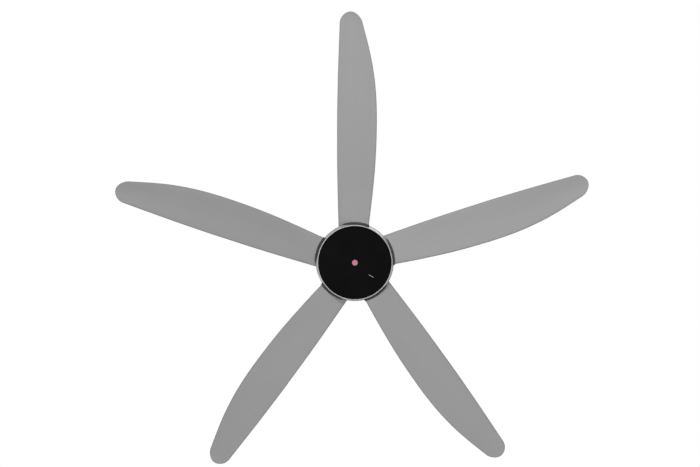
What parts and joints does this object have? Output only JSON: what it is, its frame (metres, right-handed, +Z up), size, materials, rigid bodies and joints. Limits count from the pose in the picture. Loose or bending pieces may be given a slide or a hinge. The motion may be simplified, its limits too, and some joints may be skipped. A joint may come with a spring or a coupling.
{
  "type": "ceiling fan",
  "caption": "Ceiling fan with long curved satin blades on a slim round hub, hung from a ceiling bracket by a short rod with a bell canopy.",
  "frame": {"origin": "centre of the ceiling bracket's top face, which lies against the ceiling", "axes": "+Z up along the rod's axis, -Y towards the first blade, +X along the bracket's length"},
  "size_m": [1.4288, 1.362, 0.3815],
  "materials": {
    "silver_metal": "satin",
    "silver_plastic": "satin",
    "gloss_black": "gloss",
    "badge_pink": "gloss",
    "pale_grey": "matte",
    "steel": "satin",
    "zinc": "satin",
    "cast_aluminium": "satin",
    "bearing_steel": "gloss",
    "lamination": "satin",
    "copper": "satin",
    "ferrite": "matte",
    "board_green": "satin",
    "nylon": "satin",
    "rubber": "matte",
    "cable_grey": "matte"
  },
  "bodies": {
    "ceiling_mount": {"ceiling_bracket": "steel", "bracket_bolt": "zinc", "bracket_nut": "zinc", "bracket_cotter": "zinc", "hanger_roller": "rubber", "terminal_block": "nylon"},
    "shackle": {"shackle": "steel", "shackle_bolt": "zinc", "shackle_nut": "zinc", "shackle_cotter": "zinc"},
    "downrod": {"downrod": "silver_metal", "rod_spacer_front": "nylon", "rod_spacer_back": "nylon", "supply_cable": "cable_grey", "motor_coupling": "steel", "set_screw": "zinc", "clevis_pin": "zinc", "clevis_cotter": "zinc", "upper_housing": "silver_metal", "housing_screw_1": "zinc", "housing_screw_2": "zinc", "housing_screw_3": "zinc", "control_board": "board_green", "shaft": "steel", "shaft_nut": "zinc", "stator_core": "lamination", "stator_winding": "copper", "upper_bearing_inner_ring": "bearing_steel", "lower_bearing_inner_ring": "bearing_steel"},
    "canopy": {"canopy": "silver_metal", "canopy_grommet": "rubber"},
    "coupling_cover": {"coupling_cover": "silver_metal"},
    "rotor": {"upper_bearing_outer_ring": "bearing_steel", "lower_bearing_outer_ring": "bearing_steel", "rotor_upper_shell": "cast_aluminium", "rotor_lower_shell": "cast_aluminium", "magnet_ring": "ferrite", "dust_ring": "rubber", "lower_cover": "silver_plastic", "cover_disc": "gloss_black", "centre_badge": "badge_pink", "indicator_bar": "pale_grey", "blade_bracket_1": "cast_aluminium", "blade_bracket_2": "cast_aluminium", "blade_bracket_3": "cast_aluminium", "blade_bracket_4": "cast_aluminium", "blade_bracket_5": "cast_aluminium", "blade_1": "silver_plastic", "blade_2": "silver_plastic", "blade_3": "silver_plastic", "blade_4": "silver_plastic", "blade_5": "silver_plastic", "cover_screw_1": "zinc", "cover_screw_2": "zinc", "cover_screw_3": "zinc", "cover_screw_4": "zinc", "cover_screw_5": "zinc"},
    "upper_cage": {"upper_ball_cage": "bearing_steel"},
    "lower_cage": {"lower_ball_cage": "bearing_steel"}
  },
  "joints": [
    {"name": "shackle_swing", "type": "hinge", "parent": "ceiling_mount", "child": "shackle", "pos_m": [0, 0, -0.0243], "axis": [1, 0, 0], "range_deg": [-6, 6]},
    {"name": "rod_swing", "type": "hinge", "parent": "shackle", "child": "downrod", "pos_m": [0, 0, -0.0603], "axis": [0, 1, 0], "range_deg": [-6, 6]},
    {"name": "canopy_slide", "type": "slide", "parent": "downrod", "child": "canopy", "axis": [0, 0, -1], "range_m": [0, 0.075]},
    {"name": "coupling_cover_lift", "type": "slide", "parent": "downrod", "child": "coupling_cover", "axis": [0, 0, 1], "range_m": [0, 0.045]},
    {"name": "rotor_spin", "type": "hinge", "parent": "downrod", "child": "rotor", "pos_m": [0, 0, -0.3238], "axis": [0, 0, -1], "continuous": true},
    {"name": "upper_cage_spin", "type": "hinge", "parent": "downrod", "child": "upper_cage", "pos_m": [0, 0, -0.3008], "axis": [0, 0, -1], "continuous": true},
    {"name": "lower_cage_spin", "type": "hinge", "parent": "downrod", "child": "lower_cage", "pos_m": [0, 0, -0.3468], "axis": [0, 0, -1], "continuous": true}
  ],
  "couplings": [
    {"joint": "upper_cage_spin", "follows": "rotor_spin", "ratio": 0.5573},
    {"joint": "lower_cage_spin", "follows": "rotor_spin", "ratio": 0.5573}
  ]
}
